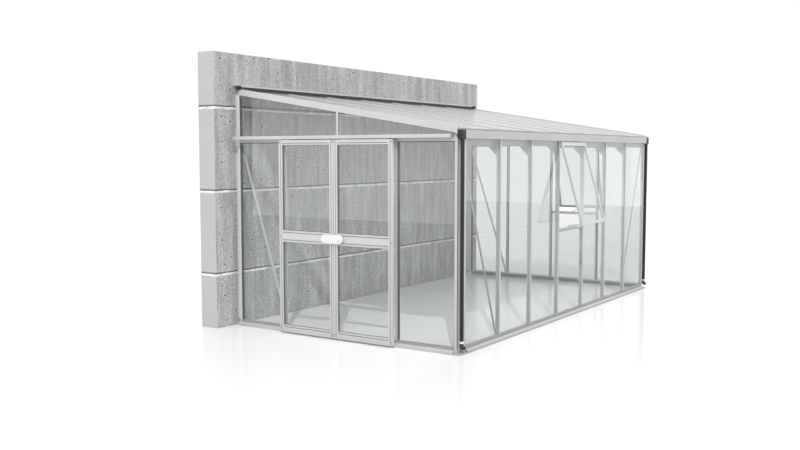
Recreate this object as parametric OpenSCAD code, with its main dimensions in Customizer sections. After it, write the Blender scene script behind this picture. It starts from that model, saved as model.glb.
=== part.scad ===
// Lean-to glass greenhouse against a free-standing concrete wall, with a pair of sliding doors in one end.
// Millimetres, +Z up. X runs along the wall from the door end, -Y points away from the wall.

/* [Bays] */
// spacing of the glazing bars
bay = 620; // [500:1:760]
// bays along the eave side
eave_bays = 7; // [5:1:9]
// bays between the wall and the eave side
end_bays = 4; // [4:1:4]
// distance from an end's outer face to the first bar line of the eave side
corner_offset = 91; // [85:1:120]
// distance from the last end bar line back to the eave side's outer face
corner_extra = 4; // [-5:1:14]

/* [Heights] */
// top of the base sill
sill_h = 56; // [46:1:80]
// underside of the eave beam and of the end rails
eave_z = 1772; // [1650:1:1900]
// roof underside above the eave beam's underside, at the eave side's outer face
beam_rise = 31; // [26:1:50]
// rise of the roof from the eave side to the wall
roof_rise = 398; // [250:1:600]
// height of the eave beam's inner leg below the bars' tops
leg_h = 60; // [40:1:80]
// width of the leg's lower flange
leg_w = 20; // [12:1:24]

// how far the end rails reach below the eave beam's underside
rail_low = 30; // [20:1:40]
// how far the end rails reach above it
rail_up = 28; // [22:1:30]

/* [Concrete wall] */
// wall thickness
wall_t = 200; // [140:1:300]
// how far the wall runs past each end
wall_over = 250; // [100:1:500]
// height of the lowest and the highest course
course_low = 510; // [400:1:600]
// height of the two middle courses
course_mid = 783; // [700:1:900]
// chamfer along the course edges
course_chamfer = 5; // [2:1:12]

/* [Glazing bars] */
// width of the outer cap
cap_w = 25; // [20:1:32]
// thickness of the outer cap
cap_t = 4; // [3:0.5:6]
// web thickness
web_t = 6; // [4:1:8]
// depth of a bar from cap face to bolt channel face
bar_d = 40; // [34:1:50]
// width of the bolt channel
channel_w = 20; // [17:1:24]
// depth of the bolt channel block
channel_d = 16; // [12:1:18]
// width of the bolt slot
slot_w = 8; // [6:1:10]
// depth of the bolt slot
slot_d = 10; // [6:1:10]

/* [Glass] */
// pane thickness
glass_t = 4; // [3:0.5:6]
// free edge between a pane and a web
glass_edge = 1; // [0.5:0.5:3]
// roof sheet thickness
sheet_t = 10; // [6:1:16]

/* [Sill] */
// lower step's projection outside the cap face
sill_out = 25; // [15:1:30]
// height of the lower step's face
sill_step = 22; // [16:1:26]
// rise of the sloped ledge above that face
sill_ledge = 16; // [8:1:18]
// sheet thickness of the sill
sill_t = 4; // [3:0.5:6]
// thickness of the corner foot plates
foot_t = 10; // [6:1:16]

/* [Gutter] */
// gutter's reach outside the cap face
gutter_out = 20; // [18:1:24]
// gutter's reach inside the cap face
gutter_in = 18; // [14:1:20]
// height of the gutter's front
gutter_h = 70; // [60:1:70]
// how far the front hangs below the gutter's floor
gutter_low = 9; // [4:1:16]
// gutter wall thickness
gutter_t = 3; // [2:0.5:5]
// how far an end box stands out past the end's cap face
end_cap_t = 10; // [6:1:16]
// how far an end box reaches in from the end
end_cap_in = 62; // [54:1:70]
// how far an end box stands out in front of the gutter
end_cap_lip = 2; // [1:0.5:2]
// wall thickness of an end box
end_cap_wall = 3; // [2:0.5:4]
// downpipe diameter
pipe_d = 30; // [24:1:40]
// downpipe wall thickness
pipe_t = 2; // [1.5:0.5:4]
// height of the outlet under an end box
outlet_h = 16; // [10:1:30]
// wall thickness of the outlet
outlet_t = 2.5; // [2:0.5:2.5]
// downpipe axis, in from the end
pipe_x = 30; // [24:1:36]
// downpipe axis, out from the cap face
pipe_out = 7; // [6:1:9]

/* [Roof] */
// height of a roof bar
roof_bar_h = 48; // [44:1:60]
// thickness of a roof bar's cap
roof_cap_t = 4; // [3:0.5:6]
// how far the sheets hang past the eave side's outer face
roof_hang = 10; // [6:1:12]
// width of the verge bars
verge_w = 40; // [30:1:60]
// height of the verge bars' outer lip above the roof bars' caps
verge_lip = 10; // [4:1:14]
// gap between the wall and the frame's back edge
wall_gap = 58; // [50:1:70]
// reach of the ridge profile's shelf and end blocks from the frame's back edge
ridge_reach = 52; // [40:1:80]
// height of the black seal on the roof
seal_h = 26; // [16:1:30]
// depth of the black seal
seal_w = 22; // [16:1:30]
// height of the ridge profile above the seal
nose_h = 18; // [12:1:30]
// height of the black ridge end blocks
ridge_block_h = 38; // [30:1:40]

/* [Door] */
// gap between the two closed leaves
leaf_gap = 6; // [6:1:12]
// overlap of a leaf over its door post's centre line
leaf_lap = 2; // [0:1:12]
// leaf thickness
leaf_t = 30; // [26:1:36]
// gap between the leaves and the end's outer face
leaf_off = 32; // [31:1:40]
// gap under the leaves
leaf_foot = 12; // [8:1:25]
// gap between the leaf tops and the end rail's underside
leaf_head = 10; // [8:1:16]
// stile width
stile_w = 40; // [34:1:56]
// top rail height
top_rail_h = 44; // [36:1:60]
// mid rail height
mid_rail_h = 105; // [80:1:130]
// middle of the mid rail above the ground
mid_rail_z = 893; // [800:1:1000]
// bottom rail height
bottom_rail_h = 65; // [50:1:90]
// depth of the glazing groove
groove_d = 8; // [6:1:12]
// leaf travel each way
leaf_travel = 555; // [400:1:555]
// sheet thickness of the track
track_t = 3; // [2:0.5:4]
// front lip of the track, out from the leaves' outer face
track_lip = 8; // [6:1:14]
// how far the front lip reaches below the end rail's underside
track_drop = 2; // [1:0.5:2]
// hanger plates, in from a leaf's edges
hanger_in = 90; // [60:1:150]
// width of a hanger plate
hanger_w = 40; // [30:1:60]
// thickness of a hanger plate
hanger_t = 4; // [3:0.5:6]
// width of a hanger wheel
wheel_w = 13; // [11:1:14]
// air between the track's runner and the hanger plates
runner_air = 6; // [5:0.5:7]
// running gap between a hanger wheel and the runner
run_gap = 0.3; // [0.2:0.1:0.5]

/* [Latch] */
// latch length
latch_l = 236; // [180:1:280]
// latch height
latch_h = 80; // [60:1:92]
// latch thickness
latch_t = 22; // [16:1:30]
// air between the latch and the leaf it passes over
latch_air = 7; // [6:1:10]
// lock barrel diameter
barrel_d = 34; // [24:1:44]

/* [Vents] */
// gap between a vent's header and its sash
vent_head_gap = 4; // [3:1:8]
// gap between a vent's sash and its transom
vent_foot_gap = 6; // [3:1:10]
// reach of the drip nose on a vent's transom
drip_out = 10; // [6:1:14]
// fall of the drip nose's upper face
drip_fall = 4; // [2:1:5]
// height of the drip nose
drip_h = 9; // [7:1:14]
// thickness of the hinge strip at its top
hinge_t = 6; // [4:1:8]
// distance from the hinge strip's top to the header's top
hinge_low = 4; // [2:1:8]
// width of a stay
stay_w = 6; // [4:1:10]
// height of a stay
stay_h = 14; // [10:1:20]
// distance from a stay to the sash's lower edge
stay_in = 8; // [4:1:10]
// bay of the eave side that holds a vent, counted from the door end
vent_bay = 4; // [2:1:4]
// top of the vent's lower transom
vent_sill_z = 906; // [800:1:1100]
// height of transom and header
transom_h = 30; // [24:1:44]
// opening angle of the vents
vent_angle = 16; // [5:1:35]
// sash thickness
sash_t = 20; // [16:1:26]
// sash frame width
sash_w = 26; // [20:1:36]
// gap between a sash and the bars' caps at each side
sash_gap = 2; // [1:0.5:5]
// seat gap between a swung sash and what holds it
seat_gap = 0.1; // [0.1:0.1:0.5]

/* [Braces] */
// width of the flat braces
brace_w = 25; // [18:1:36]
// thickness of the flat braces
brace_t = 4; // [3:0.5:6]
// foot of a knee brace below the eave beam
knee_drop = 155; // [100:1:200]
// width of a knee brace
knee_w = 30; // [20:1:44]
// thickness of a knee brace
knee_t = 14; // [12:1:16]

/* [Hidden] */
$fn = 48;
frame_l = eave_bays * bay + 2 * corner_offset;
depth = end_bays * bay - corner_extra;
roof_z = eave_z + beam_rise;
slope = roof_rise / depth;
roof_a = atan(slope);
roof_v = roof_bar_h / cos(roof_a);
wall_h = 2 * course_low + 2 * course_mid;
wall_l = frame_l + 2 * wall_over;
vent_hinge_z = eave_z - transom_h - vent_head_gap;
vent_w = bay - cap_w - 2 * sash_gap;
vent_x = cap_w / 2 + sash_gap;
vent_l = vent_hinge_z - vent_sill_z - vent_foot_gap;
vent_reach = vent_l * sin(vent_angle) + sash_t * cos(vent_angle);
far_x = frame_l + max(wall_over, vent_reach);
far_y = depth + max(gutter_out + end_cap_lip, vent_reach);
centre_x = (far_x - wall_over) / 2;
centre_y = (wall_t - far_y) / 2;
big = 2 * frame_l;
past = depth / 5;
silver = [0.80, 0.81, 0.82];
clear_green = [0.70, 0.78, 0.76, 0.45];
opal = [0.92, 0.93, 0.94];
black = [0.10, 0.10, 0.11];
white = [0.95, 0.95, 0.94];
concrete = [0.68, 0.68, 0.67];

// corner post: the pane edges lie against webs at these distances
corner_strip = 35;
corner_web = web_t / 2;
post_strip = wall_gap + cap_w / 2 + 0.5;
door_mid = 2 * bay;
leaf_w = bay + leaf_lap - leaf_gap / 2;
leaf_top = eave_z - leaf_head;
leaf_h = leaf_top - leaf_foot;
runner_z = eave_z - track_drop + track_t;
runner_x = -leaf_off - leaf_t / 2 - runner_air;
wheel_d = rail_up - 10;
axle_z = runner_z + run_gap + wheel_d / 2;
rail_z = eave_z - rail_low;
rail_h = rail_low + rail_up;
rail_top = rail_z + rail_h;
pipe_cut = foot_t + 34;
box_z = eave_z - gutter_low - 5;
box_h = gutter_h + 5;

// height of the roof bars' underside at a given Y
function under(y) = roof_z + (y + depth) * slope;

module put()
    translate([-centre_x, -centre_y, 0])
        children();

// the same thing at the far end
module at_far()
    translate([frame_l, 0, 0])
        mirror([1, 0, 0])
            children();

// everything below the roof bars' underside
module under_roof()
    translate([-big / 2, 0, 0])
        rotate([90, 0, 90])
            linear_extrude(big)
                polygon([[-depth - past, 0], [0, 0], [0, under(0)], [-depth - past, under(-depth - past)]]);

// section of a glazing bar: outer cap, web, channel with a bolt slot
module bar_section() {
    c = cap_w / 2;
    w = web_t / 2;
    h = channel_w / 2;
    s = slot_w / 2;
    n = bar_d - channel_d;
    polygon([[-c, 0], [c, 0], [c, cap_t], [w, cap_t], [w, n], [h, n], [h, bar_d], [s, bar_d],
        [s, bar_d - slot_d], [-s, bar_d - slot_d], [-s, bar_d], [-h, bar_d], [-h, n], [-w, n],
        [-w, cap_t], [-c, cap_t]]);
}

module eave_bar(x, z0, z1)
    translate([x, -depth, z0])
        linear_extrude(z1 - z0)
            bar_section();

module end_bar(y, z0, z1)
    translate([0, y, z0])
        linear_extrude(z1 - z0)
            mirror([1, -1, 0])
                bar_section();

// pane in an end, between two Y values
module end_pane(y0, y1, z0, z1)
    translate([cap_t, y1, z0])
        cube([glass_t, y0 - y1, z1 - z0]);

// pane in an end with its head cut to the roof slope
module end_top_pane(y0, y1, z0)
    intersection() {
        end_pane(y0, y1, z0, under(0) + 10);
        under_roof();
    }

// one course of the wall, its long edges chamfered
module course(z0, h) {
    c = course_chamfer;
    translate([-wall_over, 0, z0])
        rotate([90, 0, 90])
            linear_extrude(wall_l)
                polygon([[c, 0], [wall_t - c, 0], [wall_t, c], [wall_t, h - c], [wall_t - c, h], [c, h],
                    [0, h - c], [0, c]]);
}

module wall_course_1()
    color(concrete) put() course(0, course_low);

module wall_course_2()
    color(concrete) put() course(course_low, course_mid);

module wall_course_3()
    color(concrete) put() course(course_low + course_mid, course_mid);

module wall_course_4()
    color(concrete) put() course(course_low + 2 * course_mid, course_low);

// folded sill section: foot, lower step, sloped ledge, upright, top shelf with an inner lip
module sill_section() {
    t = sill_t;
    d = bar_d;
    e = sill_step + sill_ledge;
    polygon([[-sill_out, 0], [d, 0], [d, t], [t - sill_out, t], [t - sill_out, sill_step - t / 2],
        [t, e - t / 2], [t, sill_h - t], [d - t, sill_h - t], [d - t, sill_h - 3 * t],
        [d, sill_h - 3 * t], [d, sill_h], [0, sill_h], [0, e], [-sill_out, sill_step]]);
}

module end_sill()
    translate([0, -wall_gap, 0])
        rotate([90, 0, 0])
            linear_extrude(depth - wall_gap - corner_strip - cap_w / 2)
                sill_section();

module eave_sill()
    color(silver) put()
        translate([corner_offset + cap_w / 2, -depth, 0])
            rotate([90, 0, 90])
                linear_extrude(frame_l - 2 * corner_offset - cap_w)
                    sill_section();

module door_end_sill()
    color(silver) put() end_sill();

module far_end_sill()
    color(silver) put() at_far() end_sill();

// re-entrant corner post: a cap on each side and a folded web round the downpipe's corner
module corner_post() {
    g = corner_strip;
    e = corner_offset;
    w = corner_web;
    c = cap_w / 2;
    translate([0, -depth, foot_t])
        linear_extrude(eave_z - foot_t)
            polygon([[0, g - c], [cap_t, g - c], [cap_t, g - w], [e - w, g - w], [e - w, cap_t], [e - c, cap_t],
                [e - c, 0], [e + c, 0], [e + c, cap_t], [e + w, cap_t], [e + w, g + w], [cap_t, g + w],
                [cap_t, g + c], [0, g + c]]);
}

// foot plate of a corner post, its outer corner rounded
module corner_foot() {
    r = 30;
    x1 = corner_offset + cap_w / 2;
    y1 = corner_strip + cap_w / 2;
    o = sill_out;
    translate([0, -depth, 0])
        linear_extrude(foot_t) {
            translate([r - o, r - o])
                intersection() {
                    circle(r);
                    translate([-r, -r])
                        square(r);
                }
            translate([r - o, -o])
                square([x1 - r + o, y1 + o]);
            translate([-o, r - o])
                square([r, y1 - r + o]);
        }
}

module corner_feet()
    color(silver) put() {
        corner_foot();
        at_far() corner_foot();
    }

module corner_posts()
    color(silver) put() {
        corner_post();
        at_far() corner_post();
    }

// wall post: cap, web and a plate set back from the face that closes the gap to the wall
module wall_post() {
    p = post_strip;
    w = web_t / 2;
    c = cap_w / 2;
    t = cap_t;
    intersection() {
        translate([0, 0, sill_h])
            linear_extrude(under(0) - sill_h)
                polygon([[0, c - p], [0, -c - p], [t, -c - p], [t, -w - p], [bar_d, -w - p], [bar_d, 0],
                    [bar_d - t, 0], [bar_d - t, w - p], [t, w - p], [t, c - p]]);
        under_roof();
    }
}

module wall_posts()
    color(silver) put() {
        wall_post();
        at_far() wall_post();
    }

module eave_bars()
    color(silver) put()
        for (k = [1 : eave_bays - 1])
            eave_bar(corner_offset + k * bay, sill_h, eave_z);

module door_posts()
    color(silver) put() {
        end_bar(-bay, sill_h, rail_z);
        end_bar(-3 * bay, sill_h, rail_z);
    }

module far_end_bars()
    color(silver) put() at_far()
        for (k = [1 : 3])
            end_bar(-k * bay, sill_h, rail_z);

module upper_bar()
    intersection() {
        end_bar(-2 * bay, rail_top, under(0));
        under_roof();
    }

module upper_bars()
    color(silver) put() {
        upper_bar();
        at_far() upper_bar();
    }

// cross rail of an end: block with a bolt slot, and a face plate flush with the caps
module end_rail() {
    y0 = -post_strip - web_t / 2;
    y1 = bar_d - depth;
    c0 = -post_strip - cap_w / 2;
    c1 = corner_strip + cap_w / 2 - depth;
    m = rail_z + rail_h / 2;
    s = slot_w / 2;
    translate([0, y0, 0])
        rotate([90, 0, 0])
            linear_extrude(y0 - y1)
                polygon([[cap_t, rail_z], [bar_d, rail_z], [bar_d, m - s], [bar_d - slot_d, m - s],
                    [bar_d - slot_d, m + s], [bar_d, m + s], [bar_d, rail_top], [cap_t, rail_top]]);
    translate([0, c1, rail_z])
        cube([cap_t, c0 - c1, rail_h]);
}

module end_rails()
    color(silver) put() {
        end_rail();
        at_far() end_rail();
    }

// hooded track over the full width of the door end, its front lip folded in to a runner for the wheels
module door_track() {
    out = leaf_off + leaf_t + track_lip;
    h = rail_up;
    t = track_t;
    r = runner_x;
    d = track_drop;
    end_y = corner_strip + cap_w / 2 - depth;
    color(silver) put()
        translate([0, -wall_gap, eave_z])
            rotate([90, 0, 0])
                linear_extrude(-end_y - wall_gap)
                    polygon([[0, 0], [0, h], [-out, h], [-out, -d], [r, -d], [r, t - d], [t - out, t - d],
                        [t - out, h - t], [-t, h - t], [-t, 0]]);
}

// eave beam: tube with its top cut to the roof slope, and a flanged leg down the bars' inner faces
module eave_beam() {
    t = 3;
    d = bar_d;
    q = gutter_in;
    a = under(q - depth);
    b = under(d - depth);
    low = eave_z - leg_h;
    color(silver) put()
        translate([bar_d + cap_t, -depth, 0])
            rotate([90, 0, 90])
                linear_extrude(frame_l - 2 * bar_d - 2 * cap_t)
                    polygon([[d, low], [d + leg_w, low], [d + leg_w, low + t], [d + t, low + t],
                        [d + t, b + t * slope], [d, b], [d, eave_z]]);
    color(silver) put()
        translate([0, -depth, 0])
            rotate([90, 0, 90])
                linear_extrude(frame_l)
                    difference() {
                        polygon([[q, eave_z], [d, eave_z], [d, b], [q, a]]);
                        polygon([[q + t, eave_z + t], [d - t, eave_z + t], [d - t, b - 2 * t],
                            [q + t, a - 2 * t + 1]]);
                    }
}

// gutter section: trough on the bars' heads, its front deeper than its floor and with a rolled lip
module eave_gutter() {
    g = gutter_out;
    q = gutter_in;
    t = gutter_t;
    low = -gutter_low;
    h = gutter_h - gutter_low;
    b = beam_rise - 6;
    color(silver) put()
        translate([end_cap_in, -depth, eave_z])
            rotate([90, 0, 90])
                linear_extrude(frame_l - 2 * end_cap_in)
                    polygon([[q, 0], [q, b], [q - t, b], [q - t, t], [t - g, t], [t - g, h - t],
                        [3 * t - g, h - t], [3 * t - g, h], [-g, h], [-g, low], [t - g, low], [t - g, 0]]);
}

// black box in the corner that closes the gutter's end and passes its water to the downpipe
module gutter_end_cap() {
    l = end_cap_t + end_cap_in;
    w = gutter_out + end_cap_lip + gutter_in - 0.5;
    t = end_cap_wall;
    difference() {
        translate([-end_cap_t, -depth - gutter_out - end_cap_lip, box_z])
            cube([l, w, box_h]);
        translate([t - end_cap_t, t - depth - gutter_out - end_cap_lip, box_z + t])
            cube([l, w - 2 * t, box_h - 2 * t]);
        translate([pipe_x, -depth - pipe_out, box_z - 1])
            cylinder(d = pipe_d - 2 * pipe_t, h = t + 2);
    }
}

module gutter_end_caps()
    color(black) put() {
        gutter_end_cap();
        at_far() gutter_end_cap();
    }

// downpipe from the end box's underside down to its shoe
module downpipe()
    translate([pipe_x, -depth - pipe_out, pipe_cut + 46])
        difference() {
            cylinder(d = pipe_d, h = box_z - pipe_cut - 46);
            translate([0, 0, -1])
                cylinder(d = pipe_d - 2 * pipe_t, h = eave_z);
        }

module downpipes()
    color(black) put() {
        downpipe();
        at_far() downpipe();
    }

// outlet under an end box that a downpipe is pushed into
module pipe_outlet()
    translate([pipe_x, -depth - pipe_out, box_z - outlet_h])
        difference() {
            cylinder(d = pipe_d + 2 * outlet_t, h = outlet_h);
            translate([0, 0, -1])
                cylinder(d = pipe_d, h = outlet_h + 2);
        }

module pipe_outlets()
    color(black) put() {
        pipe_outlet();
        at_far() pipe_outlet();
    }

module pipe_collar()
    translate([pipe_x, -depth - pipe_out, pipe_cut + 50])
        difference() {
            cylinder(d = pipe_d + 8, h = 18);
            translate([0, 0, -1])
                cylinder(d = pipe_d, h = 20);
        }

module pipe_collars()
    color(white) put() {
        pipe_collar();
        at_far() pipe_collar();
    }

// shoe below a downpipe, turned out from the eave side
module pipe_shoe()
    translate([pipe_x, -depth - pipe_out, pipe_cut])
        difference() {
            union() {
                translate([0, 0, 14])
                    cylinder(d = pipe_d, h = 32);
                translate([0, 6, 15])
                    rotate([90, 0, 0])
                        cylinder(d = pipe_d, h = 34);
            }
            translate([0, 0, 16])
                cylinder(d = pipe_d - 2 * pipe_t, h = 40);
            translate([0, 0, 15])
                rotate([90, 0, 0])
                    cylinder(d = pipe_d - 2 * pipe_t, h = 60);
        }

module pipe_shoes()
    color(black) put() {
        pipe_shoe();
        at_far() pipe_shoe();
    }

// ridge profile: upright behind the seal with a flashing to the wall, and between the posts a shelf under the bars
module ridge_profile() {
    t = 4;
    g = wall_gap;
    r = g + ridge_reach;
    f = g + 2 * t;
    e = bar_d + cap_t;
    a = under(-g);
    b = under(-r);
    c = under(-f);
    top = a + roof_v + seal_h + nose_h;
    color(silver) put() {
        rotate([90, 0, 90])
            linear_extrude(frame_l)
                polygon([[-g, a], [-g, top - t], [0, top - t], [0, top], [-f, top], [-f, c]]);
        translate([e, 0, 0])
            rotate([90, 0, 90])
                linear_extrude(frame_l - 2 * e)
                    polygon([[-g, a - 20], [-g, a + t], [-f, a + t], [-f, c], [-r, b], [-r, b - t],
                        [-f, c - 2.5 * t], [-f, a - 20]]);
    }
}

// black seal strip on the roof, in front of the ridge profile
module ridge_seal() {
    y0 = -wall_gap - 8;
    y1 = y0 - seal_w;
    top = under(-wall_gap) + roof_v + seal_h;
    color(black) put()
        translate([4, 0, 0])
            rotate([90, 0, 90])
                linear_extrude(frame_l - 8)
                    polygon([[y0, under(y0) + roof_v], [y0, top], [y1, top], [y1, under(y1) + roof_v]]);
}

module ridge_end_block()
    translate([-8, -wall_gap - ridge_reach, under(-wall_gap) + roof_v - 2])
        cube([8, ridge_reach, ridge_block_h]);

module ridge_end_blocks()
    color(black) put() {
        ridge_end_block();
        at_far() ridge_end_block();
    }

// a roof member drawn in its own section, laid on the roof's underside
module on_slope(y0, y1)
    translate([0, y1, under(y1)])
        rotate([90 + roof_a, 0, 0])
            linear_extrude((y1 - y0) / cos(roof_a))
                children();

module roof_bar_section() {
    c = cap_w / 2;
    w = web_t / 2;
    h = channel_w / 2;
    s = slot_w / 2;
    top = roof_bar_h;
    seat = top - roof_cap_t - sheet_t;
    polygon([[-h, 0], [-s, 0], [-s, slot_d], [s, slot_d], [s, 0], [h, 0], [h, channel_d], [w, channel_d],
        [w, seat - 3], [h, seat - 3], [h, seat], [w, seat], [w, top - roof_cap_t], [c, top - roof_cap_t],
        [c, top], [-c, top], [-c, top - roof_cap_t], [-w, top - roof_cap_t], [-w, seat], [-h, seat],
        [-h, seat - 3], [-w, seat - 3],
        [-w, channel_d], [-h, channel_d]]);
}

roof_y0 = 8 - depth;
roof_y1 = -wall_gap - 16;
verge_y0 = gutter_in + 9 - depth;

module roof_bars()
    color(silver) put()
        for (k = [1 : eave_bays - 1])
            translate([corner_offset + k * bay, 0, 0])
                on_slope(roof_y0, roof_y1)
                    roof_bar_section();

module verge_section() {
    t = 4;
    w = verge_w;
    top = roof_bar_h;
    seat = top - roof_cap_t - sheet_t;
    polygon([[0, 0], [w, 0], [w, t], [t, t], [t, seat - 3], [w - 12, seat - 3], [w - 12, seat], [t, seat],
        [t, top - roof_cap_t], [w - 12, top - roof_cap_t], [w - 12, top], [t, top], [t, top + verge_lip],
        [0, top + verge_lip]]);
}

module verge_bar()
    on_slope(verge_y0, roof_y1)
        verge_section();

module verge_bars()
    color(silver) put() {
        verge_bar();
        at_far() verge_bar();
    }

module roof_sheet(x0, x1)
    translate([x0, 0, 0])
        on_slope(-depth - roof_hang, roof_y1)
            translate([0, roof_bar_h - roof_cap_t - sheet_t])
                square([x1 - x0, sheet_t]);

module roof_sheets() {
    e = web_t / 2 + glass_edge;
    color(opal) put()
        for (k = [0 : eave_bays - 1]) {
            x0 = (k == 0) ? 4 + glass_edge : corner_offset + k * bay + e;
            x1 = (k == eave_bays - 1) ? frame_l - 4 - glass_edge : corner_offset + (k + 1) * bay - e;
            roof_sheet(x0, x1);
        }
}

// knee brace between a bar and the roof bar above it
module knee_brace(x) {
    z0 = eave_z - knee_drop;
    z1 = z0 + knee_w * sqrt(2);
    v0 = bar_d - depth;
    r0 = (under(v0) - z0) / (1 - slope);
    r1 = (under(v0) - z1) / (1 - slope);
    translate([x - knee_t / 2, 0, 0])
        rotate([90, 0, 90])
            linear_extrude(knee_t)
                polygon([[v0, z0], [v0 + r0, under(v0 + r0)], [v0 + r1, under(v0 + r1)], [v0, z1]]);
}

module knee_braces()
    color(silver) put()
        for (k = [1 : eave_bays - 1])
            knee_brace(corner_offset + k * bay);

// flat diagonal brace from one point to another, across the bars' inner faces
module flat_brace(run, rise) {
    a = atan2(rise, run);
    rotate([90, 0, 0])
        linear_extrude(brace_t)
            rotate(a)
                translate([0, -brace_w / 2])
                    square([sqrt(run * run + rise * rise), brace_w]);
}

module eave_brace() {
    x0 = corner_offset + 4;
    x1 = corner_offset + bay - 8;
    z0 = eave_z - leg_h - 20;
    z1 = sill_h + 14;
    translate([x0, bar_d + brace_t - depth, z0])
        flat_brace(x1 - x0, z1 - z0);
}

module eave_braces()
    color(silver) put() {
        eave_brace();
        at_far() eave_brace();
    }

module end_brace() {
    y0 = -post_strip + 2;
    y1 = -bay + 6;
    z0 = rail_z - 10;
    z1 = sill_h + 14;
    translate([bar_d, y0, z0])
        rotate([0, 0, -90])
            translate([0, brace_t, 0])
                flat_brace(y0 - y1, z1 - z0);
}

module end_braces()
    color(silver) put() {
        end_brace();
        at_far() end_brace();
    }

module eave_pane(k, z0, z1) {
    e = web_t / 2 + glass_edge;
    translate([corner_offset + k * bay + e, cap_t - depth, z0])
        cube([bay - 2 * e, glass_t, z1 - z0]);
}

module eave_glass()
    color(clear_green) put()
        for (k = [0 : eave_bays - 1])
            eave_pane(k, sill_h, (k == vent_bay - 1) ? vent_sill_z - transom_h : eave_z);

module end_top_glass() {
    e = web_t / 2 + glass_edge;
    end_top_pane(-post_strip - e, -2 * bay + e, rail_top);
    end_top_pane(-2 * bay - e, bar_d + glass_edge - depth, rail_top);
}

module door_end_glass() {
    e = web_t / 2 + glass_edge;
    color(clear_green) put() {
        end_pane(-post_strip - e, -bay + e, sill_h, rail_z);
        end_pane(-3 * bay - e, corner_strip + e - depth, sill_h, rail_z);
        end_top_glass();
    }
}

module far_end_glass() {
    e = web_t / 2 + glass_edge;
    color(clear_green) put() at_far() {
        end_pane(-post_strip - e, -bay + e, sill_h, rail_z);
        end_pane(-bay - e, -2 * bay + e, sill_h, rail_z);
        end_pane(-2 * bay - e, -3 * bay + e, sill_h, vent_sill_z - transom_h);
        end_pane(-3 * bay - e, corner_strip + e - depth, sill_h, rail_z);
        end_top_glass();
    }
}

// where the two vents sit: one on the eave side, one in the far end
module at_vents() {
    translate([corner_offset + (vent_bay - 1) * bay, -depth, 0])
        children();
    at_far()
        translate([0, -2 * bay, 0])
            rotate([0, 0, -90])
                children();
}

// transom below a vent, with a drip nose, and the header above the eave side's one
module vent_transom() {
    c = cap_w / 2;
    h = transom_h;
    translate([c, 0, vent_sill_z - h])
        rotate([90, 0, 90])
            linear_extrude(bay - cap_w)
                polygon([[0, 0], [bar_d, 0], [bar_d, h], [0, h], [-drip_out, h - drip_fall],
                    [-drip_out, h - drip_h], [0, h - drip_h]]);
}

module vent_frames() {
    c = cap_w / 2;
    color(silver) put() {
        at_vents() vent_transom();
        translate([corner_offset + (vent_bay - 1) * bay + c, -depth, eave_z - transom_h])
            cube([bay - cap_w, bar_d, transom_h]);
    }
}

// the sash's own frame of reference: hinge line at the top, hanging down, swung out
module swung()
    translate([0, 0, vent_hinge_z])
        rotate([-vent_angle, 0, 0])
            children();

module sash_plate(inset, y0, y1)
    translate([vent_x + inset, y1, -vent_l + inset])
        rotate([90, 0, 0])
            linear_extrude(y1 - y0)
                square([vent_w - 2 * inset, vent_l - 2 * inset]);

module vent_sash()
    swung()
        difference() {
            sash_plate(0, -sash_t, 0);
            sash_plate(sash_w, -sash_t - 1, 1);
            sash_plate(sash_w - groove_d, -sash_t / 2 - glass_t / 2, glass_t / 2 - sash_t / 2);
        }

module vent_sashes()
    color(silver) put() at_vents() vent_sash();

module vent_glass()
    color(clear_green) put() at_vents()
        swung()
            sash_plate(sash_w - groove_d + glass_edge, -sash_t / 2 - glass_t / 2, glass_t / 2 - sash_t / 2);

// hinge strip between header and sash, flat on both
module vent_hinge() {
    s = sash_t;
    a = vent_angle;
    z = vent_hinge_z;
    f = seat_gap;
    translate([vent_x, 0, 0])
        rotate([90, 0, 90])
            linear_extrude(vent_w)
                polygon([[0, z + f], [0, eave_z - hinge_low], [-hinge_t, eave_z - hinge_low],
                    [-s * cos(a), z + s * sin(a) + f]]);
}

module vent_hinges()
    color(silver) put() at_vents() vent_hinge();

// stay from the transom to the sash's bottom rail
module vent_stay() {
    a = vent_angle;
    f = seat_gap;
    z0 = vent_sill_z;
    h = stay_h;
    p0 = vent_l - stay_in;
    p1 = p0 - h;
    translate([(bay - stay_w) / 2, 0, 0])
        rotate([90, 0, 90])
            linear_extrude(stay_w)
                polygon([[bar_d, z0], [bar_d, z0 + h], [0, z0 + h],
                    [f - p1 * sin(a), vent_hinge_z - p1 * cos(a)],
                    [f - p0 * sin(a), vent_hinge_z - p0 * cos(a)], [0, z0]]);
}

module vent_stays()
    color(silver) put() at_vents() vent_stay();

// leaf stile: tube section with a face groove and a glazing groove towards the glass
module stile() {
    w = stile_w;
    t = leaf_t;
    g = groove_d;
    m = t / 2;
    h = glass_t / 2;
    linear_extrude(leaf_h)
        polygon([[0, 0], [w / 2 - 3, 0], [w / 2 - 3, 3], [w / 2 + 3, 3], [w / 2 + 3, 0], [w, 0], [w, m - h],
            [w - g, m - h], [w - g, m + h], [w, m + h], [w, t], [0, t]]);
}

// leaf drawn with its hinge-side edge at U 0 and its closing edge at U leaf_w
module leaf_stiles()
    translate([0, 0, leaf_foot]) {
        stile();
        translate([leaf_w, 0, 0])
            mirror([1, 0, 0])
                stile();
    }

module rail(z0, h, low, high) {
    t = leaf_t;
    g = groove_d;
    m = t / 2;
    k = glass_t / 2;
    translate([stile_w, 0, z0])
        rotate([90, 0, 90])
            linear_extrude(leaf_w - 2 * stile_w)
                difference() {
                    square([t, h]);
                    if (low)
                        translate([m - k, -1])
                            square([2 * k, g + 1]);
                    if (high)
                        translate([m - k, h - g])
                            square([2 * k, g + 1]);
                    translate([-1, h / 4 - 2])
                        square([3, 4]);
                    translate([-1, 3 * h / 4 - 2])
                        square([3, 4]);
                }
}

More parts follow.
